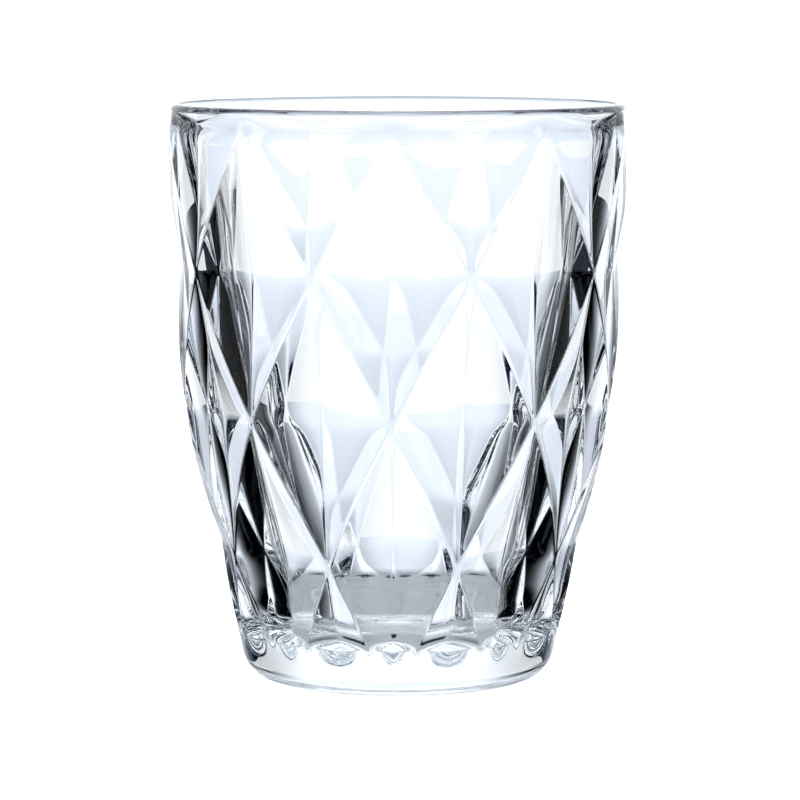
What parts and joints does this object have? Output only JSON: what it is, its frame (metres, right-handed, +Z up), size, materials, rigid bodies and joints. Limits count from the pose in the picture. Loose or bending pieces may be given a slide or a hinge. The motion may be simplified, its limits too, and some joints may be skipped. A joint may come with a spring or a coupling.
{
  "type": "whiskey tumbler",
  "caption": "Short barrel-shaped clear glass tumbler with a staggered pattern of long pressed diamonds, a smooth bore and a thick rounded base, for holding a drink.",
  "frame": {"origin": "centre of the underside, on the surface that the tumbler stands on", "axes": "+Z up along the tumbler's axis; -Y is the front, where one crossing of the diamond lattice faces; +X is to the right seen from the front"},
  "size_m": [0.079, 0.079, 0.1],
  "materials": {
    "glass": "clear pressed soda-lime glass, fire-polished smooth"
  },
  "bodies": {
    "root": {"tumbler_body": "glass"}
  },
  "joints": []
}
